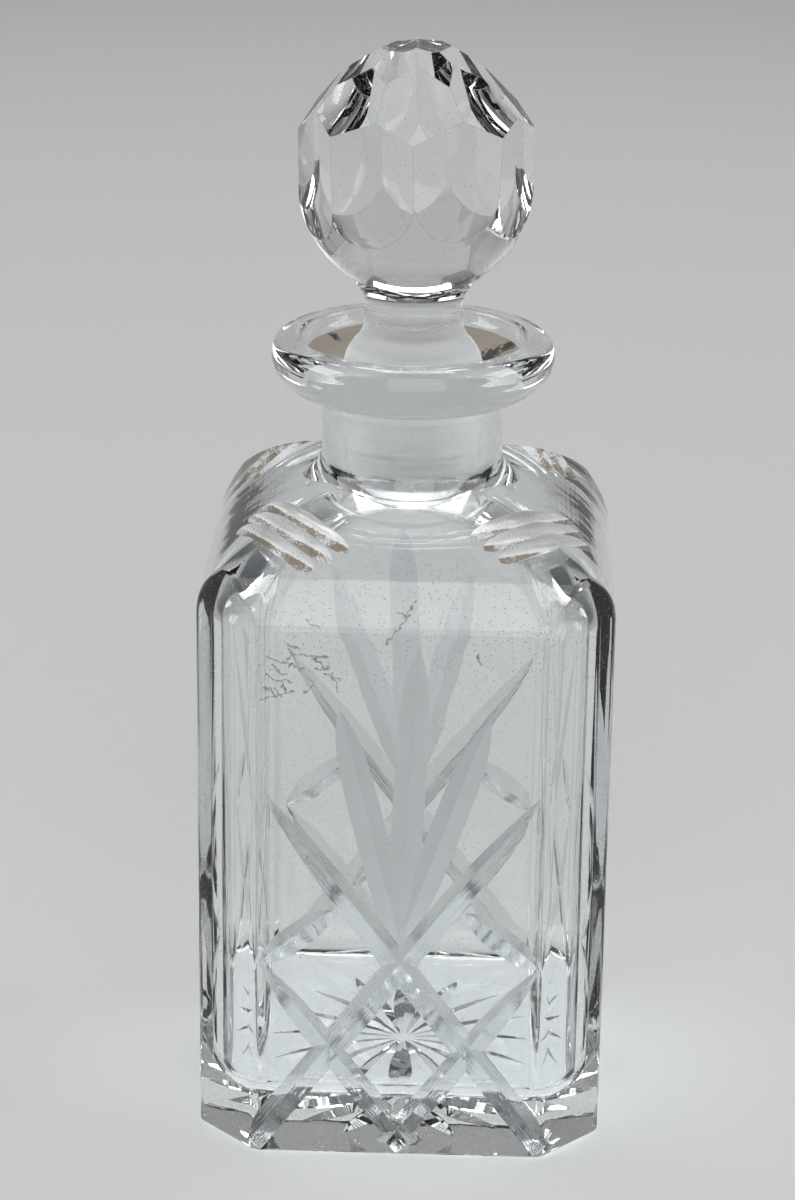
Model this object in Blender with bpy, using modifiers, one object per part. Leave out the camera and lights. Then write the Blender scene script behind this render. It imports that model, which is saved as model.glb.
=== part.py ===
"""A square cut-glass decanter with a ground-in, faceted ball stopper.

Run with: blender --background --python part.py
Units are metres and degrees, +Z is up, and the origin is under the middle of the base.
The front face looks towards -Y. Each of the four faces carries the same cut pattern.
"""

import math

import bmesh
import bpy
from mathutils import Matrix, Vector

# Body: a square block with flat-cut corners and a rounded shoulder
BODY_WIDTH = 0.089
CORNER_CUT_LEG = 0.0129
EDGE_ROUNDING = 0.0033
FOOT_BEVEL = 0.0008
WALL_HEIGHT = 0.1215
SHOULDER_RISE = 0.024
SHOULDER_TOP_WIDTH = 0.024
SHOULDER_FULLNESS = 1.65

# Inside of the body
WALL_THICKNESS = 0.0055
BASE_THICKNESS = 0.011
ROOF_THICKNESS = 0.006
CAVITY_CORNER_RADIUS = 0.012
CAVITY_FLOOR_ROUNDING = 0.007
CAVITY_WALL_DROP = 0.002
ROOF_LEDGE = 0.0012

# Neck and lip. The neck's lengths go up from the top of the shoulder
NECK_LENGTH = 0.0295
NECK_DIAMETER = 0.0392
NECK_FOOT_RISE = 0.0035
NECK_FOOT_FLARE = 0.0042
NECK_FOOT_SWEEP = 60.0
LIP_DIAMETER = 0.061
LIP_TOP_WIDTH = 0.055
LIP_DEPTH = 0.0126
LIP_EDGE_HEIGHT = 0.0015
LIP_SHOULDER_DROP = 0.0035
WELL_DIAMETER = 0.0482
WELL_DEPTH = 0.0036
WELL_DRAFT = 0.0011
FUNNEL_DEPTH = 0.0044

# Ground joint between the neck and the stopper
BORE_TOP_DIAMETER = 0.0304
BORE_TAPER = 0.1
SEAT_GAP = 0.0003
PLUG_REACH = 0.001
PLUG_END_BEVEL = 0.0008

# Stopper. Its lengths go up and down from the mouth
SHANK_DIAMETER = 0.0218
SHANK_WAIST_DIAMETER = 0.0212
SHANK_TOP_RISE = 0.009
SHANK_FOOT_RISE = 0.002
PLUG_SHOULDER_DROP = 0.006
BALL_DIAMETER = 0.0502
BALL_CENTRE_RISE = 0.034
BALL_FOOT_DIAMETER = 0.0262
TABLE_RISE = 0.0283

# Facets of the ball: how many in a row, and each row's tilt and distance from the ball's centre
FACETS_PER_ROW = 8
GIRDLE_FACET_DISTANCE = 0.0229
GIRDLE_FACET_TILT = 0.0
CROWN_FACET_DISTANCE = 0.026
CROWN_FACET_TILT = 41.3
STAR_FACET_DISTANCE = 0.0274
STAR_FACET_TILT = 56.9

# Cuts on the four faces, measured from the face's centre line and from the base. The leaves end
# by their drops below the top of the wall
MITRE_ANGLE = 125.0
MITRE_FULLNESS = 3
LATTICE_HEIGHT = 0.0462
LATTICE_HALF_PITCH = 0.0151
LATTICE_RISE = 0.0204
DIAGONAL_WIDTH = 0.0062
LOWER_DIAGONAL_WIDTH = 0.0055
SPUR_WIDTH = 0.006
SPUR_TIP_OFFSET = 0.01405
SPUR_TIP_HEIGHT = 0.0592
LEAF_WIDTH = 0.0068
LEAF_FULLNESS = 4
LEAF_FOOT_HEIGHT = 0.051
CENTRE_LEAF_DROP = 0.001
SIDE_LEAF_DROP = 0.0163
SIDE_LEAF_TOP_OFFSET = 0.016
LEAF_LEAN = 2.7

# Gouges across each shoulder corner, placed by their distance out along the diagonal and their
# depth below the top of the shoulder. Each one is turned in plan and falls towards its
# anticlockwise end, as the hand-cut ones do
GOUGE_WIDTH = 0.0046
GOUGE_COUNT = 3
GOUGE_FIRST_DISTANCE = 0.032
GOUGE_SPACING = 0.004
GOUGE_FIRST_DEPTH = 0.0066
GOUGE_DROP = 0.0017
GOUGE_TILT = 40.0
GOUGE_FALL = 5.2
GOUGE_TURN = 3.8

# Star cut under the base
STAR_RAYS = 16
STAR_RAY_WIDTH = 0.0052
STAR_RAY_FULLNESS = 2
STAR_INNER_RADIUS = 0.0015
STAR_OUTER_RADIUS = 0.032

# Fineness of the curves
ARC_STEPS = 3
ARCH_STEPS = 5
SHOULDER_STEPS = 6
FLOOR_STEPS = 4
CUT_STEPS = 10
TURN_STEPS = 48
BALL_STEPS = 9
GOUGE_STEPS = 8

# How far a cutter or a joined piece runs past the surface that it crosses
OVERRUN = 0.004
MERGE_DISTANCE = 0.00001

# Edges sharper than this, in degrees, are shaded sharp
SHARP_ANGLE = 30.0

# Glass
GLASS_ROUGHNESS = 0.02
GLASS_IOR = 1.52
BODY_COLOUR = (0.93, 0.97, 0.96, 1.0)
STOPPER_COLOUR = (0.95, 0.98, 0.97, 1.0)

BODY_HALF = BODY_WIDTH / 2
NECK_RADIUS = NECK_DIAMETER / 2
BORE_TOP_RADIUS = BORE_TOP_DIAMETER / 2
BALL_RADIUS = BALL_DIAMETER / 2
SHOULDER_TOP_HEIGHT = WALL_HEIGHT + SHOULDER_RISE
ROOF_HEIGHT = SHOULDER_TOP_HEIGHT - ROOF_THICKNESS
NECK_FOOT_HEIGHT = SHOULDER_TOP_HEIGHT + NECK_FOOT_RISE
MOUTH_HEIGHT = SHOULDER_TOP_HEIGHT + NECK_LENGTH
WELL_FLOOR_HEIGHT = MOUTH_HEIGHT - WELL_DEPTH
BORE_TOP_HEIGHT = WELL_FLOOR_HEIGHT - FUNNEL_DEPTH
PLUG_END_HEIGHT = ROOF_HEIGHT - PLUG_REACH
PLUG_SHOULDER_HEIGHT = MOUTH_HEIGHT - PLUG_SHOULDER_DROP
SHANK_FOOT_HEIGHT = MOUTH_HEIGHT + SHANK_FOOT_RISE
SHANK_TOP_HEIGHT = MOUTH_HEIGHT + SHANK_TOP_RISE
BALL_CENTRE_HEIGHT = MOUTH_HEIGHT + BALL_CENTRE_RISE
TABLE_HEIGHT = BALL_CENTRE_HEIGHT + TABLE_RISE


def bore_radius(height):
    """Radius of the tapered bore at a height."""
    return BORE_TOP_RADIUS - (BORE_TOP_HEIGHT - height) * BORE_TAPER / 2


def plug_radius(height):
    """Radius of the stopper's plug at a height, which is the bore's less the seat gap."""
    return bore_radius(height) - SEAT_GAP


def clear_scene():
    """Removes the scene's objects, so that the model starts from nothing."""
    for old in list(bpy.data.objects):
        bpy.data.objects.remove(old, do_unlink=True)


def new_collection(name, hidden=False):
    """A collection in the scene. A hidden one holds the cutters."""
    collection = bpy.data.collections.new(name)
    collection.hide_render = hidden
    bpy.context.scene.collection.children.link(collection)
    return collection


def glass(name, colour):
    """A Principled material for clear glass."""
    material = bpy.data.materials.new(name)
    material.use_nodes = True
    shader = material.node_tree.nodes["Principled BSDF"]
    shader.inputs["Base Color"].default_value = colour
    shader.inputs["Roughness"].default_value = GLASS_ROUGHNESS
    shader.inputs["Transmission Weight"].default_value = 1.0
    shader.inputs["IOR"].default_value = GLASS_IOR
    return material


def add_object(name, mesh_maker, collection, helper=True):
    """An object from a bmesh. A helper is a cutter or a piece to be joined, and isn't rendered."""
    mesh = bpy.data.meshes.new(name)
    bmesh.ops.recalc_face_normals(mesh_maker, faces=mesh_maker.faces[:])
    mesh_maker.to_mesh(mesh)
    mesh_maker.free()
    made = bpy.data.objects.new(name, mesh)
    collection.objects.link(made)
    made.hide_render = helper
    made.display_type = "WIRE" if helper else "TEXTURED"
    return made


def square_section(half_width, diagonal_reach, rounding, height):
    """A level loop of a square with rounded corners, which a flat cuts off past diagonal_reach.

    diagonal_reach is x + y on that flat, so a corner keeps its full square where x + y stays below it.
    """
    far = half_width - rounding
    near = min(far, diagonal_reach - rounding * math.sqrt(2) - far)
    points = []
    for turn in range(4):
        quarter = Matrix.Rotation(math.radians(90 * turn), 3, "Z")
        for centre_x, centre_y, start in ((far, near, 0), (near, far, 45)):
            for step in range(ARC_STEPS + 1):
                angle = math.radians(start + 45 * step / ARC_STEPS)
                x = centre_x + rounding * math.cos(angle)
                y = centre_y + rounding * math.sin(angle)
                points.append(quarter @ Vector((x, y, height)))
    return points


def loft(loops):
    """A closed bmesh through loops with the same number of points, capped at both ends."""
    made = bmesh.new()
    rings = [[made.verts.new(point) for point in loop] for loop in loops]
    count = len(rings[0])
    for lower, upper in zip(rings, rings[1:]):
        for index in range(count):
            after = (index + 1) % count
            made.faces.new((lower[index], lower[after], upper[after], upper[index]))
    made.faces.new(rings[0][::-1])
    made.faces.new(rings[-1])
    bmesh.ops.remove_doubles(made, verts=made.verts[:], dist=MERGE_DISTANCE)
    bmesh.ops.dissolve_degenerate(made, edges=made.edges[:], dist=MERGE_DISTANCE)
    return made


def turned(name, profile, collection, helper=True):
    """An object turned about Z from (radius, height) points, listed down its outer side."""
    mesh = bpy.data.meshes.new(name)
    points = [(radius, 0, height) for radius, height in profile]
    mesh.from_pydata(points, [(i, i + 1) for i in range(len(points) - 1)], [])
    made = bpy.data.objects.new(name, mesh)
    collection.objects.link(made)
    made.hide_render = helper
    made.display_type = "WIRE" if helper else "TEXTURED"
    screw = made.modifiers.new("turn", "SCREW")
    screw.steps = TURN_STEPS
    screw.render_steps = TURN_STEPS
    screw.use_merge_vertices = True
    screw.merge_threshold = MERGE_DISTANCE
    screw.use_smooth_shade = False
    return made


def boolean(target, operation, other, name):
    """Joins or cuts target with another object, or with every object of a collection."""
    modifier = target.modifiers.new(name, "BOOLEAN")
    modifier.operation = operation
    modifier.solver = "EXACT"
    if isinstance(other, bpy.types.Collection):
        modifier.operand_type = "COLLECTION"
        modifier.collection = other
    else:
        modifier.object = other


def shoulder_curve(start_half, end_half, start_height, rise, angle):
    """(half width, height) of a shoulder at an angle from 0 on the wall to 90 degrees at the top."""
    span = start_half - end_half
    share = max(math.cos(math.radians(angle)), 0) ** (2 / SHOULDER_FULLNESS)
    return end_half + span * share, start_height + rise * math.sin(math.radians(angle))


def body_block(collection):
    """The outside of the body, from the foot's bevel to the top of the shoulder."""
    reach = BODY_WIDTH - CORNER_CUT_LEG
    top_half = SHOULDER_TOP_WIDTH / 2
    loops = [
        square_section(
            BODY_HALF - FOOT_BEVEL,
            reach - FOOT_BEVEL * math.sqrt(2),
            EDGE_ROUNDING - FOOT_BEVEL,
            0,
        ),
        square_section(BODY_HALF, reach, EDGE_ROUNDING, FOOT_BEVEL),
    ]
    # The corner's flat ends in an arch where the two rounded edges beside it meet
    apex_half = reach / 2 + EDGE_ROUNDING * (1 - math.sqrt(0.5))
    apex_share = (apex_half - top_half) / (BODY_HALF - top_half)
    apex_angle = math.degrees(math.acos(apex_share ** (SHOULDER_FULLNESS / 2)))
    angles = [apex_angle * step / ARCH_STEPS for step in range(ARCH_STEPS)]
    rest = 90 - apex_angle
    angles += [apex_angle + rest * step / SHOULDER_STEPS for step in range(SHOULDER_STEPS + 1)]
    for angle in angles:
        half, height = shoulder_curve(BODY_HALF, top_half, WALL_HEIGHT, SHOULDER_RISE, angle)
        loops.append(square_section(half, reach, EDGE_ROUNDING, height))
    return add_object("decanter_body", loft(loops), collection, helper=False)


def neck(collection):
    """The neck and its flared lip, turned, with its foot sunk in the shoulder."""
    foot_radius = NECK_RADIUS + NECK_FOOT_FLARE
    foot_height = NECK_FOOT_HEIGHT - NECK_FOOT_FLARE
    edge = LIP_DIAMETER / 2
    top = LIP_TOP_WIDTH / 2
    crease = MOUTH_HEIGHT - LIP_SHOULDER_DROP - LIP_EDGE_HEIGHT
    underside = MOUTH_HEIGHT - LIP_DEPTH
    profile = [(0, MOUTH_HEIGHT), (top, MOUTH_HEIGHT)]
    for step in range(1, ARC_STEPS + 1):
        angle = math.radians(90 * step / ARC_STEPS)
        radius = top + (edge - top) * math.sin(angle)
        profile.append((radius, MOUTH_HEIGHT - LIP_SHOULDER_DROP * (1 - math.cos(angle))))
    profile.append((edge, crease))
    # The underside is a quarter of an ellipse from the crease in to the neck
    for step in range(1, ARCH_STEPS + 1):
        angle = math.radians(90 * step / ARCH_STEPS)
        radius = NECK_RADIUS + (edge - NECK_RADIUS) * math.cos(angle)
        profile.append((radius, underside + (crease - underside) * (1 - math.sin(angle))))
    profile.append((NECK_RADIUS, NECK_FOOT_HEIGHT))
    for step in range(1, ARC_STEPS + 1):
        angle = math.radians(NECK_FOOT_SWEEP * step / ARC_STEPS)
        radius = foot_radius - NECK_FOOT_FLARE * math.cos(angle)
        profile.append((radius, NECK_FOOT_HEIGHT - NECK_FOOT_FLARE * math.sin(angle)))
    profile.append((foot_radius, foot_height - OVERRUN))
    profile.append((0, foot_height - OVERRUN))
    return turned("neck_blank", profile, collection)


def hollow(collection):
    """The two cutters that empty the body: the square cavity, and the bore with its funnel and well."""
    cavity_half = BODY_HALF - WALL_THICKNESS
    loops = []
    for step in range(FLOOR_STEPS + 1):
        angle = math.radians(90 * step / FLOOR_STEPS)
        inset = CAVITY_FLOOR_ROUNDING * (1 - math.sin(angle))
        height = BASE_THICKNESS + CAVITY_FLOOR_ROUNDING * (1 - math.cos(angle))
        corner = CAVITY_CORNER_RADIUS - inset
        loops.append(square_section(cavity_half - inset, BODY_WIDTH, corner, height))
    top_radius = bore_radius(ROOF_HEIGHT) + ROOF_LEDGE
    wall_top = WALL_HEIGHT - CAVITY_WALL_DROP
    steps = ARCH_STEPS + SHOULDER_STEPS
    for step in range(steps + 1):
        angle = 90 * step / steps
        half, height = shoulder_curve(
            cavity_half, top_radius, wall_top, ROOF_HEIGHT - wall_top, angle
        )
        progress = (cavity_half - half) / (cavity_half - top_radius)
        corner = CAVITY_CORNER_RADIUS + (top_radius - CAVITY_CORNER_RADIUS) * progress
        loops.append(square_section(half, BODY_WIDTH, corner, height))
    add_object("cavity_cutter", loft(loops), collection)
    well_radius = WELL_DIAMETER / 2
    start = ROOF_HEIGHT - OVERRUN
    profile = [
        (0, MOUTH_HEIGHT + OVERRUN),
        (well_radius, MOUTH_HEIGHT + OVERRUN),
        (well_radius, MOUTH_HEIGHT),
        (well_radius - WELL_DRAFT, WELL_FLOOR_HEIGHT),
        (BORE_TOP_RADIUS, BORE_TOP_HEIGHT),
        (bore_radius(start), start),
        (0, start),
    ]
    turned("bore_cutter", profile, collection)


def mitre_cutter(name, length, width, fullness, collection, pointed=True):
    """A V-shaped cutter along +Y, from y = 0 to length, whose cut is width wide at z = 0.

    The cut deepens from a pointed tip. A higher fullness keeps it wide for longer. Where the far
    end isn't pointed, it keeps the full depth and runs past the end of the cut.
    """
    slope = math.tan(math.radians(MITRE_ANGLE / 2))
    depth = width / 2 / slope
    stations = []
    for step in range(CUT_STEPS + 1):
        share = step / CUT_STEPS
        along = 2 * share - 1
        if along > 0 and not pointed:
            along = 0
        stations.append((length * share, depth * (1 - abs(along) ** fullness)))
    if not pointed:
        stations.append((length + OVERRUN, depth))
    rise = OVERRUN / slope
    loops = []
    for y, deep in stations:
        half = (deep + rise) * slope
        loops.append((Vector((-half, y, rise)), Vector((0, y, -deep)), Vector((half, y, rise))))
    return add_object(name, loft(loops), collection)


def lay_on_face(cutter, start, end, turn):
    """Lays a cutter on a face, from start to end as (across, height), then turns it to that face."""
    across = end[0] - start[0]
    up = end[1] - start[1]
    lean = math.atan2(across, up)
    upright = Matrix.Rotation(math.radians(90), 4, "X")
    lean_over = Matrix.Rotation(lean, 4, "Y")
    place = Matrix.Translation((start[0], -BODY_HALF, start[1]))
    face = Matrix.Rotation(math.radians(90 * turn), 4, "Z")
    cutter.matrix_world = face @ place @ lean_over @ upright


def face_cuts(turn, collection):
    """The pattern of one face: two long diagonals, two lower ones, two spurs and three leaves."""
    pitch = LATTICE_HALF_PITCH
    edge = 2 * pitch
    middle = LATTICE_HEIGHT
    low = middle - 2 * LATTICE_RISE
    high = middle + 2 * LATTICE_RISE
    cuts = []
    for side in (-1, 1):
        corner = (side * edge, middle)
        tip = (side * SPUR_TIP_OFFSET, SPUR_TIP_HEIGHT)
        start = (side * edge, high)
        end = (-side * edge, low)
        cuts.append(("diagonal", start, end, DIAGONAL_WIDTH, MITRE_FULLNESS, False))
        cuts.append(("lower", corner, (0, low), LOWER_DIAGONAL_WIDTH, MITRE_FULLNESS, False))
        cuts.append(("spur", corner, tip, SPUR_WIDTH, MITRE_FULLNESS, True))
    tops = (
        (0, CENTRE_LEAF_DROP),
        (-SIDE_LEAF_TOP_OFFSET, SIDE_LEAF_DROP),
        (SIDE_LEAF_TOP_OFFSET, SIDE_LEAF_DROP),
    )
    for across, drop in tops:
        # The three leaves lean to the right together, about their shared foot
        up = WALL_HEIGHT - drop - LEAF_FOOT_HEIGHT
        lean = math.radians(LEAF_LEAN)
        top_across = across * math.cos(lean) + up * math.sin(lean)
        top_height = LEAF_FOOT_HEIGHT + up * math.cos(lean) - across * math.sin(lean)
        foot = (0, LEAF_FOOT_HEIGHT)
        cuts.append(("leaf", foot, (top_across, top_height), LEAF_WIDTH, LEAF_FULLNESS, True))
    for index, (name, start, end, width, fullness, pointed) in enumerate(cuts):
        title = f"{name}_cutter_{turn}_{index}"
        length = math.dist(start, end)
        cutter = mitre_cutter(title, length, width, fullness, collection, pointed)
        lay_on_face(cutter, start, end, turn)


def gouge_cutter(name, collection):
    """A round-bottomed slot along Y, open upwards, with the middle of its floor at the origin."""
    radius = GOUGE_WIDTH / 2
    section = [Vector((radius, 0, 2 * GOUGE_WIDTH)), Vector((-radius, 0, 2 * GOUGE_WIDTH))]
    for step in range(GOUGE_STEPS + 1):
        angle = math.radians(180 + 180 * step / GOUGE_STEPS)
        section.append(Vector((radius * math.cos(angle), 0, radius + radius * math.sin(angle))))
    half_length = Vector((0, BODY_HALF / 2, 0))
    ends = [[point + side * half_length for point in section] for side in (-1, 1)]
    return add_object(name, loft(ends), collection)


def shoulder_gouges(collection):
    """Round-bottomed gouges across the four shoulder corners, square to the diagonal."""
    for corner in range(4):
        turn = Matrix.Rotation(math.radians(45 + 90 * corner), 4, "Z")
        for index in range(GOUGE_COUNT):
            cutter = gouge_cutter(f"gouge_cutter_{corner}_{index}", collection)
            distance = GOUGE_FIRST_DISTANCE + index * GOUGE_SPACING
            height = SHOULDER_TOP_HEIGHT - GOUGE_FIRST_DEPTH - index * GOUGE_DROP
            lean = Matrix.Rotation(math.radians(GOUGE_TILT), 4, "Y")
            fall = Matrix.Rotation(math.radians(-GOUGE_FALL), 4, "X")
            plan = Matrix.Rotation(math.radians(-GOUGE_TURN), 4, "Z")
            place = Matrix.Translation((distance, 0, height))
            cutter.matrix_world = turn @ place @ plan @ fall @ lean


def star_cut(collection):
    """The rays of the star under the base, each a mitre cut that tapers to both ends."""
    length = STAR_OUTER_RADIUS - STAR_INNER_RADIUS
    for ray in range(STAR_RAYS):
        name = f"ray_cutter_{ray}"
        cutter = mitre_cutter(name, length, STAR_RAY_WIDTH, STAR_RAY_FULLNESS, collection)
        turn = Matrix.Rotation(math.radians(360 * ray / STAR_RAYS), 4, "Z")
        start = Matrix.Translation((0, STAR_INNER_RADIUS, 0))
        cutter.matrix_world = turn @ start @ Matrix.Rotation(math.radians(180), 4, "Y")


def ball_profile():
    """(radius, height) points of the stopper before its facets, from the table to the plug's end."""
    profile = [(0, TABLE_HEIGHT), (BALL_RADIUS, TABLE_HEIGHT)]
    foot_angle = math.degrees(math.acos(BALL_FOOT_DIAMETER / BALL_DIAMETER))
    for step in range(BALL_STEPS + 1):
        angle = math.radians(foot_angle * step / BALL_STEPS)
        height = BALL_CENTRE_HEIGHT - BALL_RADIUS * math.sin(angle)
        profile.append((BALL_RADIUS * math.cos(angle), height))
    return profile


def stopper(collection, cutters):
    """The one-piece stopper: faceted ball, waisted shank, flared shoulder and tapered plug."""
    shank = SHANK_DIAMETER / 2
    waist = SHANK_WAIST_DIAMETER / 2
    shoulder = plug_radius(PLUG_SHOULDER_HEIGHT)
    profile = ball_profile()
    profile += [
        (shank, SHANK_TOP_HEIGHT),
        (waist, (SHANK_TOP_HEIGHT + SHANK_FOOT_HEIGHT) / 2),
        (shank, SHANK_FOOT_HEIGHT),
    ]
    # The flare leaves the shank upright, and is upright again where the ground plug begins
    for step in range(1, ARCH_STEPS + 1):
        share = step / ARCH_STEPS
        radius = shank + (shoulder - shank) * (1 - math.cos(math.pi * share)) / 2
        profile.append((radius, SHANK_FOOT_HEIGHT + (PLUG_SHOULDER_HEIGHT - SHANK_FOOT_HEIGHT) * share))
    bevel_height = PLUG_END_HEIGHT + PLUG_END_BEVEL
    profile += [
        (plug_radius(bevel_height), bevel_height),
        (plug_radius(bevel_height) - PLUG_END_BEVEL, PLUG_END_HEIGHT),
        (0, PLUG_END_HEIGHT),
    ]
    made = turned("stopper", profile, collection, helper=False)
    boolean(made, "DIFFERENCE", cutters, "facets")
    return made


def facet_cutters(collection):
    """Blocks whose near side is the plane of a facet. The rows are staggered by half a facet."""
    step = 360 / FACETS_PER_ROW
    rows = (
        (step / 2, GIRDLE_FACET_TILT, GIRDLE_FACET_DISTANCE, BALL_DIAMETER),
        (0, CROWN_FACET_TILT, CROWN_FACET_DISTANCE, BALL_RADIUS),
        (step / 2, STAR_FACET_TILT, STAR_FACET_DISTANCE, BALL_RADIUS),
    )
    for row, (offset, tilt, distance, size) in enumerate(rows):
        for index in range(FACETS_PER_ROW):
            made = bmesh.new()
            bmesh.ops.create_cube(made, size=1)
            cutter = add_object(f"facet_cutter_{row}_{index}", made, collection)
            turn = Matrix.Rotation(math.radians(offset + step * index), 4, "Z")
            lean = Matrix.Rotation(math.radians(-tilt), 4, "Y")
            out = Matrix.Translation((distance + size / 2, 0, 0))
            centre = Matrix.Translation((0, 0, BALL_CENTRE_HEIGHT))
            scale = Matrix.Diagonal((size, 2 * BALL_DIAMETER, 2 * size, 1))
            cutter.matrix_world = centre @ turn @ lean @ out @ scale


def smooth(made):
    """Smooth shading, with the sharp edges kept sharp."""
    mesh = made.data
    mesh.shade_smooth()
    mesh.set_sharp_from_angle(angle=math.radians(SHARP_ANGLE))


def main():
    clear_scene()
    pieces = new_collection("cut_glass_decanter")
    helpers = new_collection("cutters", hidden=True)
    hollow_cutters = new_collection("hollow_cutters", hidden=True)
    pattern_cutters = new_collection("pattern_cutters", hidden=True)
    facet_blocks = new_collection("facet_blocks", hidden=True)

    body = body_block(pieces)
    boolean(body, "UNION", neck(helpers), "neck")
    hollow(hollow_cutters)
    boolean(body, "DIFFERENCE", hollow_cutters, "hollow")
    for turn in range(4):
        face_cuts(turn, pattern_cutters)
    shoulder_gouges(pattern_cutters)
    star_cut(pattern_cutters)
    boolean(body, "DIFFERENCE", pattern_cutters, "cuts")
    body.data.materials.append(glass("clear_glass", BODY_COLOUR))
    smooth(body)

    facet_cutters(facet_blocks)
    plug = stopper(pieces, facet_blocks)
    plug.data.materials.append(glass("stopper_glass", STOPPER_COLOUR))
    smooth(plug)


main()
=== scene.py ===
"""Blender scene of a square cut-glass decanter with a ground-in, faceted ball stopper.

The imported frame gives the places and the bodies. This script builds each glass piece again with
fine curves and crisp cuts, gives it polished and ground glass, and sets a plain pale stage. Sizes
are in metres, +Z is up, and the front face of the body looks towards -Y.
"""

import logging
import math
from collections.abc import Iterable, Sequence
from dataclasses import dataclass, field
from enum import Enum
from functools import partial, reduce

import bmesh
import bpy
from bmesh.types import BMEdge, BMesh, BMVert
from bpy.types import Material, Node, NodeOutputs, NodeTree, Object
from bpy.types import NodeSocket as Socket
from mathutils import Matrix, Vector


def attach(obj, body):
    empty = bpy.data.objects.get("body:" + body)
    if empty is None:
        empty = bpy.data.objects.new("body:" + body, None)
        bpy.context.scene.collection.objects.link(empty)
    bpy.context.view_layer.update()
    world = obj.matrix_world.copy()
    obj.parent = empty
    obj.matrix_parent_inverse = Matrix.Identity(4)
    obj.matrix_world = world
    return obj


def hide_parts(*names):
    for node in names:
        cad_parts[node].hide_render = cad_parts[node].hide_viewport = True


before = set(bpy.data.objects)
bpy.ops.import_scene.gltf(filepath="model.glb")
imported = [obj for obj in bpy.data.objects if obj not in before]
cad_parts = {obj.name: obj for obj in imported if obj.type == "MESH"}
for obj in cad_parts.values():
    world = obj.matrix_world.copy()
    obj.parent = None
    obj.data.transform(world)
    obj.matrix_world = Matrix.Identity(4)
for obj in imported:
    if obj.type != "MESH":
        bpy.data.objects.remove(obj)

LOG = logging.getLogger("decanter")

# Points nearer than MERGE are one point, and a cutting tool reaches PAST out of what it cuts.
MERGE = 1e-6
PAST = 0.004
SHARP_ANGLE = 14
GLASS_IOR = 1.52
DUST_ROUGHNESS = 0.4
HAIRLINE_HALF_WIDTH = 0.00016
FRONT_FACE_Y = -0.0425
LINE_ENDS = ("From X", "From Z", "To X", "To Z")

Colour = tuple[float, float, float, float]
Place = tuple[float, float, float]
Point = tuple[float, float]


class Surface(Enum):
    """Finishes that the faces of a glass piece can have, in the order of its material slots."""

    POLISHED = 0
    LEAF = 1
    GOUGE = 2
    GROUND_JOINT = 3
    WELL = 4
    FUNNEL = 5
    RIM = 6
    MITRE = 7
    ARRIS = 8
    INSIDE = 9


def sweep(start: float, end: float, steps: int) -> list[float]:
    """Evenly spaced angles in radians, both ends included, from angles in degrees."""
    return [math.radians(start + (end - start) * step / steps) for step in range(steps + 1)]


def section_loop(
    half: float, reach: float, rounding: float, height: float, steps: int
) -> list[Vector]:
    """A level loop of a square with rounded corners that flats cut off.

    Args:
        half: Half the width of the square.
        reach: The sum of x and y on the corner's flat.
        rounding: Radius of the rounded edges.
        height: Height of the loop.
        steps: Segments in each eighth of a turn.

    Returns:
        The points of the loop, anticlockwise.
    """
    far = half - rounding
    near = min(far, reach - rounding * math.sqrt(2) - far)
    points = []
    for turn in range(4):
        quarter = Matrix.Rotation(math.radians(90 * turn), 3, "Z")
        for centre_x, centre_y, start in ((far, near, 0), (near, far, 45)):
            for angle in sweep(start, start + 45, steps):
                x = centre_x + rounding * math.cos(angle)
                y = centre_y + rounding * math.sin(angle)
                points.append(quarter @ Vector((x, y, height)))
    return points


def loft(loops: Sequence[Sequence[Vector]]) -> BMesh:
    """Extrudes the first loop through all the others and closes both ends.

    Args:
        loops: Loops with the same number of points.

    Returns:
        A closed mesh with its normals outwards.
    """
    made = bmesh.new()
    ring = [made.verts.new(point) for point in loops[0]]
    made.faces.new(ring)
    for loop in loops[1:]:
        around = zip(ring, ring[1:] + ring[:1])
        edges = [made.edges.get(pair) for pair in around]
        grown = bmesh.ops.extrude_edge_only(made, edges=edges)["geom"]
        fresh = {item for item in grown if isinstance(item, BMVert)}
        ring = [
            next(far for edge in vert.link_edges if (far := edge.other_vert(vert)) in fresh)
            for vert in ring
        ]
        for vert, point in zip(ring, loop):
            vert.co = point
    made.faces.new(ring)
    return cleaned(made)


def spun(profile: Sequence[Point], steps: int) -> BMesh:
    """Spins a profile of (radius, height) points a full turn about the axis.

    Args:
        profile: The points, from the axis round to the axis.
        steps: Segments round the axis.

    Returns:
        A closed mesh with its normals outwards.
    """
    made = bmesh.new()
    verts = [made.verts.new((radius, 0, height)) for radius, height in profile]
    edges = [made.edges.new(pair) for pair in zip(verts, verts[1:])]
    axis = {"cent": (0, 0, 0), "axis": (0, 0, 1), "dvec": (0, 0, 0)}
    whole = {"angle": math.tau, "steps": steps, "use_merge": True, "use_duplicate": False}
    bmesh.ops.spin(made, geom=verts + edges, **axis, **whole)
    return cleaned(made)


def cleaned(made: BMesh) -> BMesh:
    """Merges doubles, drops empty faces and turns the normals outwards.

    Args:
        made: The mesh, which is changed.

    Returns:
        The same mesh.
    """
    bmesh.ops.remove_doubles(made, verts=made.verts[:], dist=MERGE)
    bmesh.ops.dissolve_degenerate(made, edges=made.edges[:], dist=MERGE)
    bmesh.ops.recalc_face_normals(made, faces=made.faces[:])
    return made


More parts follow.
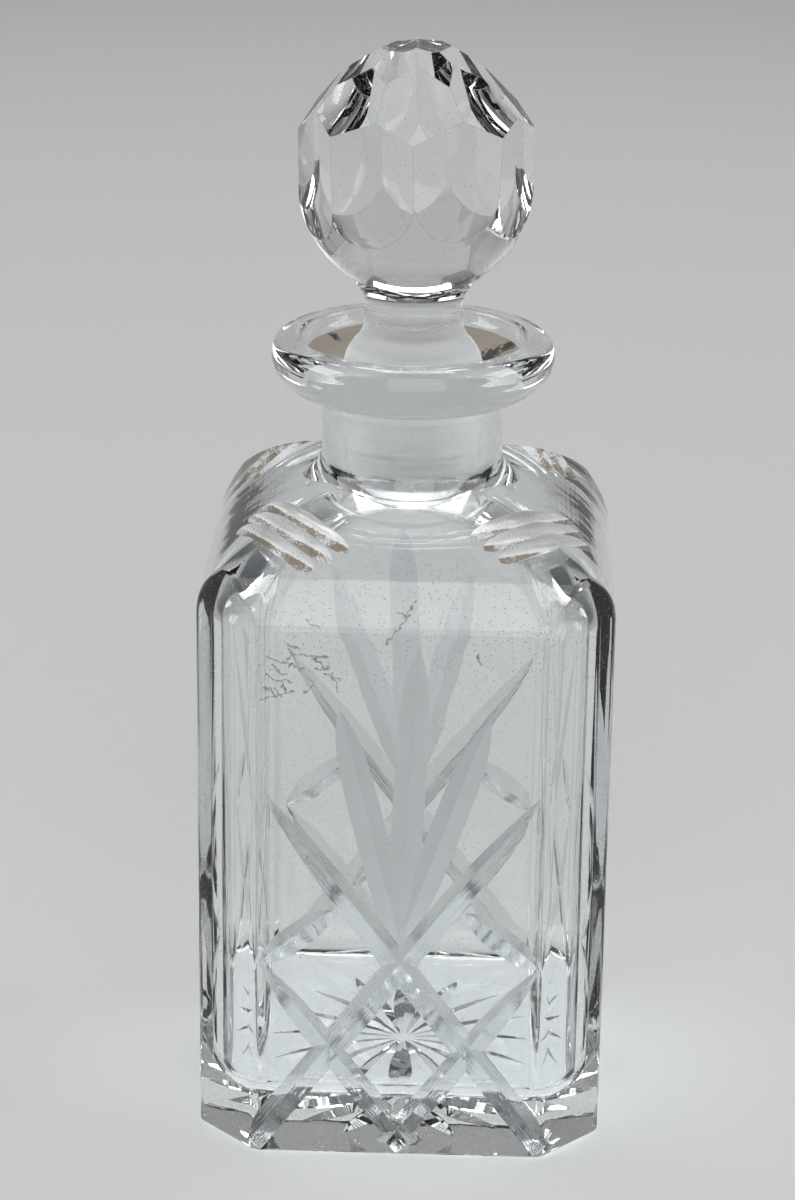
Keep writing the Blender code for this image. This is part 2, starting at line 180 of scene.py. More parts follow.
def curve_through(points: Sequence[Point], steps: int) -> list[Point]:
    """A smooth curve through (radius, height) points.

    Args:
        points: Points that the curve passes through.
        steps: Segments between each two of them.

    Returns:
        The points of the curve, both ends included.
    """
    ends = [points[0], *points, points[-1]]
    made = []
    for four in zip(ends, ends[1:], ends[2:], ends[3:]):
        for step in range(steps):
            t = step / steps
            made.append(
                tuple(
                    0.5
                    * (
                        2 * q
                        + (r - p) * t
                        + (2 * p - 5 * q + 4 * r - s) * t * t
                        + (3 * q - p - 3 * r + s) * t * t * t
                    )
                    for p, q, r, s in zip(*four)
                )
            )
    made.append(points[-1])
    return made


def turned(degrees: float, axis: str) -> Matrix:
    """A turn about an axis."""
    return Matrix.Rotation(math.radians(degrees), 4, axis)


def placed(name: str, data: bpy.types.ID, matrix: Matrix | None = None) -> Object:
    """Adds an object to the scene.

    Args:
        name: Name of the object.
        data: Its mesh, lamp or lens.
        matrix: Its place, if it isn't the origin.

    Returns:
        The object.
    """
    piece = bpy.data.objects.new(name, data)
    bpy.context.scene.collection.objects.link(piece)
    if matrix is not None:
        piece.matrix_world = matrix
    return piece


@dataclass
class Bench:
    """The place where pieces are built: turns meshes into objects, and cuts and joins them."""

    materials: list[Material] = field(default_factory=list)

    def lay(
        self, name: str, made: BMesh, surface: Surface, matrix: Matrix | None = None
    ) -> Object:
        """Makes an object of a mesh.

        Args:
            name: Name of the object.
            made: The mesh, which is freed.
            surface: The finish of the faces that have none of their own yet.
            matrix: Its place, if it isn't the origin.

        Returns:
            The object, linked to the scene.
        """
        for face in made.faces:
            face.material_index = face.material_index or surface.value
            face.smooth = True
        mesh = bpy.data.meshes.new(name)
        made.to_mesh(mesh)
        made.free()
        for material in self.materials:
            mesh.materials.append(material)
        return placed(name, mesh, matrix)

    def work(self, piece: Object, operation: str, tools: Sequence[Object]) -> None:
        """Joins or cuts a piece with tools, which are used up.

        Args:
            piece: The object to change.
            operation: UNION or DIFFERENCE.
            tools: The objects to join or cut it with.
        """
        rack = bpy.data.collections.new("tools")
        bpy.context.scene.collection.children.link(rack)
        for tool in tools:
            bpy.context.scene.collection.objects.unlink(tool)
            rack.objects.link(tool)
        modifier = piece.modifiers.new("work", "BOOLEAN")
        modifier.operation = operation
        modifier.solver = "EXACT"
        modifier.operand_type = "COLLECTION"
        modifier.collection = rack
        self.apply(piece)
        for tool in tools:
            bpy.data.objects.remove(tool)
        bpy.data.collections.remove(rack)

    def apply(self, piece: Object) -> None:
        """Gives a piece the mesh that its modifiers make, and drops them.

        Args:
            piece: The object to change.
        """
        graph = bpy.context.evaluated_depsgraph_get()
        graph.update()
        done = bpy.data.meshes.new_from_object(piece.evaluated_get(graph), depsgraph=graph)
        old = piece.data
        piece.modifiers.clear()
        piece.data = done
        bpy.data.meshes.remove(old)
        done.name = piece.name

    def shade(self, piece: Object) -> None:
        """Shades a piece smooth between its sharp edges, with flats kept truly flat.

        Args:
            piece: The object to shade.
        """
        piece.data.validate()
        piece.data.shade_smooth()
        piece.data.set_sharp_from_angle(angle=math.radians(SHARP_ANGLE))
        modifier = piece.modifiers.new("normals", "WEIGHTED_NORMAL")
        modifier.keep_sharp = True
        modifier.weight = 100
        self.apply(piece)


@dataclass(frozen=True)
class NodeKit:
    """Adds shader nodes to a tree and links them."""

    tree: NodeTree

    @staticmethod
    def material(name: str) -> tuple[Material, "NodeKit", Node]:
        """Starts a material.

        Args:
            name: Name of the material.

        Returns:
            The material, a kit for its nodes and its main shader.
        """
        made = bpy.data.materials.new(name)
        made.use_nodes = True
        return made, NodeKit(made.node_tree), made.node_tree.nodes["Principled BSDF"]

    def join(self, node: Node, links: dict[str | int, Socket]) -> None:
        """Links sockets to a node's inputs, by the name or place of each."""
        for key, socket in links.items():
            self.tree.links.new(socket, node.inputs[key])

    def surface(self, share: Socket, first: Node, second: Node) -> None:
        """Makes the material's surface a mix of two shaders."""
        mixed = self.node("MixShader", {0: share, 1: first.outputs[0], 2: second.outputs[0]})
        self.join(self.tree.nodes["Material Output"], {"Surface": mixed.outputs[0]})

    def effect(self, name: str, **inputs: object) -> NodeOutputs:
        """Adds one of the shared node groups, and returns what it gives."""
        return self.node("Group", inputs, node_tree=bpy.data.node_groups[name]).outputs

    @property
    def given(self) -> list[Socket]:
        """The values that a node group is given, in order, without the empty socket at the end."""
        return self.tree.nodes["Group Input"].outputs[:-1]

    def give(self, title: str, value: Socket) -> None:
        """Links a value to one of a node group's outputs."""
        self.tree.links.new(value, self.tree.nodes["Group Output"].inputs[title])

    def node(self, kind: str, inputs: dict | None = None, **settings: object) -> Node:
        """Adds a node.

        Args:
            kind: The node's type name, after its ShaderNode.
            inputs: Values, or sockets to link from, by the name or place of the input.
            **settings: Properties of the node.

        Returns:
            The node.
        """
        made = self.tree.nodes.new(f"ShaderNode{kind}")
        for key, value in settings.items():
            setattr(made, key, value)
        for key, value in (inputs or {}).items():
            socket = made.inputs[key]
            if isinstance(value, Socket):
                self.tree.links.new(value, socket)
            else:
                socket.default_value = value
        return made

    def math(self, operation: str, *values: object) -> Socket:
        """Does arithmetic on up to three values or sockets, and returns the result's socket."""
        return self.node("Math", dict(enumerate(values)), operation=operation).outputs[0]

    def product(self, *values: object) -> Socket:
        """Multiplies values or sockets, and returns the result's socket."""
        return reduce(partial(self.math, "MULTIPLY"), values)

    def largest(self, values: Iterable[Socket]) -> Socket:
        """The largest of some sockets' values."""
        return reduce(partial(self.math, "MAXIMUM"), values)

    def vector(self, operation: str, *values: object) -> Socket:
        """Does arithmetic on vectors, and returns the socket of the vector or of their distance."""
        found = self.node("VectorMath", dict(enumerate(values)), operation=operation).outputs
        return found["Value" if operation == "DISTANCE" else "Vector"]

    def mix(self, share: Socket, first: object, second: object) -> Socket:
        """Mixes two colours, each a value or a socket, and returns the result's socket."""
        inputs = {"Factor": share, "A": first, "B": second}
        return self.node("Mix", inputs, data_type="RGBA").outputs["Result"]

    def choose(self, share: Socket, first: Socket, second: Socket) -> Socket:
        """Mixes two numbers, and returns the result's socket."""
        return self.node("Mix", {"Factor": share, "A": first, "B": second}).outputs[0]

    def ramp(self, value: Socket, low: float, high: float) -> Socket:
        """Maps low to 0 and high to 1, smoothly and clamped, and returns the result's socket."""
        inputs = {"Value": value, "From Min": low, "From Max": high}
        return self.node("MapRange", inputs, interpolation_type="SMOOTHSTEP").outputs["Result"]

    def noise(self, place: Socket, scale: object, detail: float) -> Socket:
        """Soft noise from 0 to 1."""
        inputs = {"Vector": place, "Scale": scale, "Detail": detail}
        return self.node("TexNoise", inputs).outputs[0]

    def streaks(self, place: Socket, scale: tuple[float, float, float], detail: float) -> Socket:
        """Noise from 0 to 1 that has its own scale along each axis."""
        stretched = self.node("Mapping", {"Vector": place, "Scale": scale}).outputs[0]
        return self.noise(stretched, 1.0, detail)

    def split(self, vector: Socket) -> NodeOutputs:
        """The sockets X, Y and Z of a vector."""
        return self.node("SeparateXYZ", {"Vector": vector}).outputs


def new_group(name: str, inputs: dict[str, float | str], outputs: Sequence[str]) -> NodeKit:
    """Starts a shader node group with named sockets.

    Args:
        name: Name of the group.
        inputs: Default of each value input, or "VECTOR" for a vector input.
        outputs: Names of its value outputs.

    Returns:
        A kit for the group, which has its input and output nodes.
    """
    group = bpy.data.node_groups.new(name, "ShaderNodeTree")
    for title, default in inputs.items():
        kind = "NodeSocketVector" if default == "VECTOR" else "NodeSocketFloat"
        socket = group.interface.new_socket(title, in_out="INPUT", socket_type=kind)
        if default != "VECTOR":
            socket.default_value = default
    for title in outputs:
        group.interface.new_socket(title, in_out="OUTPUT", socket_type="NodeSocketFloat")
    group.nodes.new("NodeGroupInput")
    group.nodes.new("NodeGroupOutput")
    return NodeKit(group)


def specks_group() -> None:
    """Small loose specks of dust, gathered in drifts."""
    kit = new_group("specks", {"Vector": "VECTOR", "Scale": 900.0, "Cover": 0.3}, ["Mask"])
    place, scale, cover = kit.given
    cells = kit.node("TexVoronoi", {"Vector": place, "Scale": scale}).outputs
    drifts = kit.noise(place, kit.product(scale, 0.06), 3.0)
    spot = kit.ramp(cells["Distance"], 0.24, 0.1)
    threshold = kit.math("SUBTRACT", 0.86, kit.product(cover, 0.5))
    chance = kit.node("SeparateColor", {"Color": cells["Color"]}).outputs[0]
    weight = kit.math("MULTIPLY_ADD", chance, 0.4, drifts)
    kit.give("Mask", kit.product(spot, kit.math("GREATER_THAN", weight, threshold)))


def scratches_group() -> None:
    """Fine scratches in two directions, as years of wiping leave them."""
    kit = new_group("scratches", {"Vector": "VECTOR"}, ["Mask"])
    (place,) = kit.given
    found = []
    for turn, stretch in ((0.5, 14.0), (-0.9, 9.0)):
        inputs = {"Rotation": (turn, 0.6 * turn, turn), "Scale": (1.0, stretch, 1.0)}
        mapping = kit.node("Mapping", {"Vector": place} | inputs)
        inputs = {"Vector": mapping.outputs[0], "Scale": 60.0}
        cells = kit.node("TexVoronoi", inputs, feature="DISTANCE_TO_EDGE").outputs
        found.append(kit.ramp(cells["Distance"], 0.012, 0.0))
    kept = kit.ramp(kit.noise(place, 35.0, 2.0), 0.5, 0.68)
    kit.give("Mask", kit.product(kit.largest(found), kept))


def grain_group() -> None:
    """The fine grain of ground glass: a height for a bump, and a patchy mask."""
    kit = new_group("grain", {"Vector": "VECTOR"}, ["Height", "Patches"])
    (place,) = kit.given
    inputs = {"Vector": place, "Scale": 2600.0, "Detail": 4.0, "Roughness": 0.7}
    kit.give("Height", kit.node("TexNoise", inputs).outputs[0])
    kit.give("Patches", kit.noise(place, 130.0, 3.0))


def hairline_group() -> None:
    """A fine line on the front face, as dried drips and crazing leave it."""
    kit = new_group("hairline", {"Vector": "VECTOR"} | dict.fromkeys(LINE_ENDS, 0.0), ["Mask"])
    place, from_x, from_z, to_x, to_z = kit.given
    point = kit.split(place)
    x = kit.math("SUBTRACT", point["X"], from_x)
    z = kit.math("SUBTRACT", point["Z"], from_z)
    run_x = kit.math("SUBTRACT", to_x, from_x)
    run_z = kit.math("SUBTRACT", to_z, from_z)
    length = kit.math("SQRT", kit.math("MULTIPLY_ADD", run_x, run_x, kit.product(run_z, run_z)))
    reach = kit.math("MULTIPLY_ADD", x, run_x, kit.product(z, run_z))
    along = kit.math("DIVIDE", reach, length)
    offset = kit.math("SUBTRACT", kit.product(x, run_z), kit.product(z, run_x))
    aside = kit.math("ABSOLUTE", kit.math("DIVIDE", offset, length))
    line = kit.math("LESS_THAN", aside, HAIRLINE_HALF_WIDTH)
    front = kit.math("LESS_THAN", point["Y"], FRONT_FACE_Y)
    begun = kit.math("GREATER_THAN", along, 0.0)
    ended = kit.math("LESS_THAN", along, length)
    kit.give("Mask", kit.product(line, front, begun, ended))


@dataclass(frozen=True)
class GlassFinish:
    """One finish of the glass.

    roughness is the finish's own, and wear adds to it where it is scratched. dust_and_shade is the
    share of dust, and on the well wall of near-black specks that are painted shade; their colour is
    dust_and_shade_colour, and the specks are smaller at a higher speck_scale.
    mark_colour is the colour of the finish's own marks. inner is the tint that shows through the
    glass from behind the surface, where it isn't the same. grain is the depth of a ground
    surface's bump in metres, and ripple that of a polished surface's waves.
    """

    name: str
    tint: Colour = (0.974, 0.989, 0.992, 1.0)
    roughness: float = 0.0
    wear: float = 0.22
    dust_and_shade: float = 0.22
    dust_and_shade_colour: Colour = (0.5, 0.49, 0.465, 1.0)
    mark_colour: Colour = (0.2, 0.195, 0.185, 1.0)
    inner: Colour | None = None
    grain: float = 0.0
    ripple: float = 0.00002
    transmission: float = 1.0
    speck_scale: float = 1500.0

    def ground(self, kit: NodeKit, place: Socket) -> Socket | None:
        """The mask of the ground part of the surface, or None where all of it is alike."""
        return None

    def marks(self, kit: NodeKit, place: Socket) -> Socket | None:
        """The mask of marks that this finish has beside dust, or None."""
        return None

    def film(self, kit: NodeKit, upward: Socket, grain: NodeOutputs) -> Socket:
        """The mask of the dust that lies in the grain of a ground surface.

        Args:
            kit: The material's nodes.
            upward: How far the surface faces up.
            grain: What the grain's node group gives.

        Returns:
            The mask.
        """
        patches = kit.math("MULTIPLY_ADD", kit.ramp(upward, 0.4, 0.85), 0.3, grain["Patches"])
        crumbs = kit.math("MULTIPLY_ADD", grain["Height"], 1.6, kit.math("SUBTRACT", patches, 0.8))
        return kit.product(kit.ramp(crumbs, 0.45, 0.9), self.dust_and_shade)

    def waves(self, kit: NodeKit, place: Socket, facing: Socket) -> Socket:
        """The height of the waves of a polished surface, from 0 to 1."""
        return kit.noise(place, 45.0, 1.0)

    def build(self) -> Material:
        """Builds the material out of the shared node groups.

        Returns:
            The material.
        """
        material, kit, shader = NodeKit.material(self.name)
        surface = kit.node("TexCoord").outputs
        place, facing = surface["Object"], surface["Normal"]
        specks = kit.effect("specks", Vector=place, Scale=self.speck_scale, Cover=self.dust_and_shade)
        cover = specks["Mask"]
        ground = self.ground(kit, place)
        rough = self.roughness if ground is None else kit.product(ground, self.roughness)
        if self.grain:
            grain = kit.effect("grain", Vector=place)
            cover = kit.math("MAXIMUM", cover, self.film(kit, kit.split(facing)["Z"], grain))
            height = kit.product(grain["Height"], self.grain)
        else:
            scratches = kit.effect("scratches", Vector=place)["Mask"]
            rough = kit.math("MULTIPLY_ADD", scratches, self.wear, rough)
            height = kit.product(self.waves(kit, place, facing), self.ripple)
        colour = kit.mix(cover, self.tint, self.dust_and_shade_colour)
        marks = self.marks(kit, place)
        if marks is not None:
            colour = kit.mix(marks, colour, self.mark_colour)
            cover = kit.math("MAXIMUM", cover, marks)
        if self.inner is not None:
            behind = kit.node("NewGeometry").outputs["Backfacing"]
            colour = kit.mix(behind, colour, self.inner)
        rough = kit.math("MULTIPLY_ADD", cover, DUST_ROUGHNESS, rough)
        rough = kit.math("MINIMUM", rough, 0.9)
        bump = kit.node("Bump", {"Height": height, "Distance": 1.0}).outputs["Normal"]
        kit.join(shader, {"Base Color": colour, "Roughness": rough, "Normal": bump})
        shader.inputs["Transmission Weight"].default_value = self.transmission
        shader.inputs["IOR"].default_value = GLASS_IOR
        # The lamps shine through the glass, which would otherwise cast a solid shadow.
        clear = kit.node("BsdfTransparent", {"Color": (0.87, 0.885, 0.89, 1.0)})
        kit.surface(kit.node("LightPath").outputs["Is Shadow Ray"], shader, clear)
        return material


@dataclass(frozen=True)
class GougeFinish(GlassFinish):
    """Cut glass with brown crumbs that lie where a gouge faces up."""

    def film(self, kit: NodeKit, upward: Socket, grain: NodeOutputs) -> Socket:
        """The mask of the crumbs.

        Args:
            kit: The material's nodes.
            upward: How far the surface faces up.
            grain: What the grain's node group gives.

        Returns:
            The mask.
        """
        lying = kit.product(kit.ramp(upward, 0.3, 0.72), grain["Patches"])
        crumbs = kit.math("MULTIPLY_ADD", grain["Height"], 0.9, lying)
        return kit.product(kit.ramp(crumbs, 0.86, 0.96), self.dust_and_shade)


@dataclass(frozen=True)
class FunnelFinish(GlassFinish):
    """The dusty funnel round the stopper's plug, with a few heaps of black crumbs.

    Each heap is (x, y, radius), in millimetres.
    """

    heaps: tuple[tuple[float, float, float], ...] = (
        (16.3, 6.4, 4.2), (20.6, 6.6, 3.0), (-17.5, 12.0, 1.6),
    )

    def marks(self, kit: NodeKit, place: Socket) -> Socket | None:
        """The mask of the crumbs.

        Args:
            kit: The material's nodes.
            place: The point on the surface.

        Returns:
            The mask.
        """
        flat = kit.vector("MULTIPLY", place, (1.0, 1.0, 0.0))
        broken = kit.noise(place, 1500.0, 3.0)
        found = []
        for x, y, radius in self.heaps:
            away = kit.vector("DISTANCE", flat, (x / 1000, y / 1000, 0.0))
            share = kit.math("MULTIPLY_ADD", broken, 1.2, kit.product(away, -500 / radius))
            found.append(kit.ramp(share, 0.22, 0.3))
        return kit.largest(found)


@dataclass(frozen=True)
class BlownFinish(GlassFinish):
    """The inside of the body, with the soft upright streaks that blowing in a mould leaves."""

    def waves(self, kit: NodeKit, place: Socket, facing: Socket) -> Socket:
        """The height of the streaks, which are strongest in the corners.

        Args:
            kit: The material's nodes.
            place: The point on the surface.
            facing: The surface's normal.

        Returns:
            The height, from 0 to 1.
        """
        streaks = kit.streaks(place, (130.0, 130.0, 9.0), 2.0)
        normal = kit.split(facing)
        corner = kit.ramp(kit.math("ABSOLUTE", kit.product(normal["X"], normal["Y"])), 0.02, 0.3)
        return kit.product(streaks, kit.math("MULTIPLY_ADD", corner, 0.8, 0.2))


@dataclass(frozen=True)
class MitreFinish(GlassFinish):
    """The walls of the lattice's mitres, with the fine lines that the wheel leaves along each cut.

    lean is the angle of the cuts from upright, in degrees.
    """

    lean: float = 36.5

    def waves(self, kit: NodeKit, place: Socket, facing: Socket) -> Socket:
        """The height of the wheel's lines.

        Args:
            kit: The material's nodes.
            place: The point on the surface.
            facing: The surface's normal.

        Returns:
            The height, from 0 to 1.
        """
        point = kit.split(place)
        normal = kit.split(facing)
        sideways = [kit.math("ABSOLUTE", normal[axis]) for axis in ("X", "Y")]
        on_side = kit.math("GREATER_THAN", *sideways)
        across = kit.choose(on_side, point["X"], point["Y"])
        tilt = kit.choose(on_side, normal["X"], normal["Y"])
        slant = kit.math("SIGN", kit.product(tilt, normal["Z"]))
        height = kit.product(slant, point["Z"])
        sine, cosine = math.sin(math.radians(self.lean)), math.cos(math.radians(self.lean))
        beside = kit.math("MULTIPLY_ADD", height, sine, kit.product(across, cosine))
        along = kit.math("MULTIPLY_ADD", height, -cosine, kit.product(across, sine))
        inputs = {"X": kit.product(beside, 2400.0), "Y": kit.product(along, 45.0)}
        return kit.noise(kit.node("CombineXYZ", inputs).outputs[0], 1.0, 3.0)


@dataclass(frozen=True)
class StainedGlassFinish(GlassFinish):
    """Polished glass with fine dried and crazed lines on the front face and dust over them.

    Each line is (from x, from z, to x, to z), in millimetres, and wavers by up to half of waver.
    """

    waver: float = 0.003
    dust_height: float = 0.124
    dust_scale: float = 1250.0
    dust_cover: float = 0.56
    lines: tuple[tuple[float, float, float, float], ...] = (
        (-29.0, 117.0, -20.4, 114.4), (-28.2, 114.0, -24.4, 113.2), (-22.9, 118.0, -15.4, 117.3),
        (-19.2, 114.8, -15.0, 115.0), (-29.3, 112.8, -23.2, 111.2), (-29.9, 107.2, -23.0, 109.4),
        (-21.0, 109.4, -18.7, 111.0), (-25.4, 111.4, -24.6, 109.0), (-14.6, 114.0, -13.5, 109.0),
        (3.0, 129.9, -0.6, 124.6), (-0.6, 124.6, -3.9, 120.2), (-20.0, 125.6, -17.4, 123.4),
        (-27.6, 115.9, -26.2, 113.7), (-24.8, 115.8, -23.0, 117.9), (-27.2, 110.0, -25.0, 107.6),
        (-18.2, 117.4, -16.6, 114.9), (-16.8, 113.6, -13.0, 112.2), (-24.6, 119.9, -21.2, 119.1),
        (-28.9, 110.4, -26.6, 108.4), (15.4, 119.0, 16.6, 116.2), (0.4, 126.4, -1.4, 127.6),
    )

    def marks(self, kit: NodeKit, place: Socket) -> Socket | None:
        """The mask of the dried and crazed lines and of the dust.

        Args:
            kit: The material's nodes.
            place: The point on the surface.

        Returns:
            The mask.
        """
        inputs = {"Vector": place, "Scale": 620.0, "Detail": 4.0}
        noise = kit.node("TexNoise", inputs).outputs["Color"]
        centred = kit.vector("SUBTRACT", noise, (0.5, 0.5, 0.5))
        wavering = kit.vector("MULTIPLY_ADD", centred, (self.waver,) * 3, place)
        found = []
        for line in self.lines:
            ends = {title: value / 1000 for title, value in zip(LINE_ENDS, line)}
            found.append(kit.effect("hairline", Vector=wavering, **ends)["Mask"])
        cover, scale = self.dust_cover, self.dust_scale
        dust = kit.effect("specks", Vector=place, Scale=scale, Cover=cover)["Mask"]
        point = kit.split(place)
        above = kit.math("ABSOLUTE", kit.math("SUBTRACT", point["Z"], self.dust_height))
        near = kit.product(kit.ramp(above, 0.02, 0.008), kit.ramp(point["Y"], -0.024, -0.032))
        return kit.largest([*found, kit.product(dust, near)])


@dataclass(frozen=True)
class GroundJointFinish(GlassFinish):
    """Glass that is ground to a fit between two heights, with turning marks and a wavering edge."""

    low: float = 0.1462
    high: float = 0.1787
    waver: float = 0.007
    rings_middle: float = 0.1632
    rings_reach: float = 0.0155

    def ground(self, kit: NodeKit, place: Socket) -> Socket | None:
        """The mask of the ground band.

        Args:
            kit: The material's nodes.
            place: The point on the surface.

        Returns:
            The mask.
        """
        height = kit.split(place)["Z"]
        lowered = kit.math("SUBTRACT", height, self.waver / 2)
        wavering = kit.math("MULTIPLY_ADD", kit.noise(place, 90.0, 2.0), self.waver, lowered)
        low = kit.ramp(wavering, self.low - 0.0003, self.low + 0.0003)
        high = kit.ramp(height, self.high + 0.0002, self.high - 0.0004)
        rings = kit.streaks(place, (12.0, 12.0, 900.0), 3.0)
        return kit.product(low, high, kit.math("MULTIPLY_ADD", rings, 0.7, 0.65))

    def marks(self, kit: NodeKit, place: Socket) -> Socket | None:
        """The mask of the darker turning rings.

        Args:
            kit: The material's nodes.
            place: The point on the surface.

        Returns:
            The mask.
        """
        away = kit.math("SUBTRACT", kit.split(place)["Z"], self.rings_middle)
        within = kit.math("LESS_THAN", kit.math("ABSOLUTE", away), self.rings_reach)
        rings = kit.streaks(place, (9.0, 9.0, 420.0), 2.0)
        return kit.product(kit.ramp(rings, 0.45, 0.7), within, 0.55)


# The finish of each kind of surface.
FINISHES: dict[Surface, GlassFinish] = {
    Surface.POLISHED: StainedGlassFinish("polished_glass", dust_and_shade=0.2, speck_scale=1400.0),
    # The leaves' grey tint is painted shade in their V-shaped grooves; their roughness is the
    # grinding.
    Surface.LEAF: GlassFinish(
        "ground_leaf_painted_shade", tint=(0.6, 0.63, 0.645, 1.0), roughness=0.42, grain=0.00001,
        transmission=0.8,
    ),
    Surface.GOUGE: GougeFinish(
        "ground_gouge", tint=(0.8, 0.815, 0.82, 1.0), roughness=0.3, grain=0.000008, dust_and_shade=0.97,
        dust_and_shade_colour=(0.21, 0.155, 0.1, 1.0), transmission=0.4,
    ),
    Surface.GROUND_JOINT: GroundJointFinish(
        "ground_joint", tint=(0.9, 0.91, 0.91, 1.0), roughness=0.5, grain=0.00001, dust_and_shade=0.1,
        mark_colour=(0.66, 0.68, 0.68, 1.0),
    ),
    # Painted shade: the well wall is tinted grey and thickly covered in near-black specks, which
    # darken the recess.
    Surface.WELL: GlassFinish(
        "well_wall", tint=(0.72, 0.725, 0.72, 1.0), roughness=0.1, dust_and_shade=0.95,
        dust_and_shade_colour=(0.08, 0.07, 0.06, 1.0), speck_scale=1100.0,
    ),
    Surface.FUNNEL: FunnelFinish(
        "dusty_funnel", tint=(0.2, 0.186, 0.165, 1.0), roughness=0.5, grain=0.00001, dust_and_shade=0.9,
        dust_and_shade_colour=(0.27, 0.225, 0.175, 1.0), mark_colour=(0.02, 0.018, 0.016, 1.0),
        inner=(0.7, 0.705, 0.7, 1.0), transmission=0.35, speck_scale=900.0,
    ),
    Surface.RIM: GlassFinish("worn_rim", roughness=0.12, wear=0.5, dust_and_shade=0.3),
    # The mitres' grey tint is painted shade in the lattice's V-shaped cuts.
    Surface.MITRE: MitreFinish(
        "wheel_cut_mitre_painted_shade", tint=(0.68, 0.71, 0.722, 1.0), roughness=0.09, ripple=0.00009
    ),
    # The arrises' grey tint is painted shade that draws dark lines along the facet edges; their
    # roughness is the wear of the softened edges.
    Surface.ARRIS: GlassFinish(
        "worn_arris_painted_shade", tint=(0.6, 0.62, 0.63, 1.0), roughness=0.4, wear=0.0
    ),
    Surface.INSIDE: BlownFinish("blown_inside", ripple=0.0003, dust_and_shade=0.15),
}


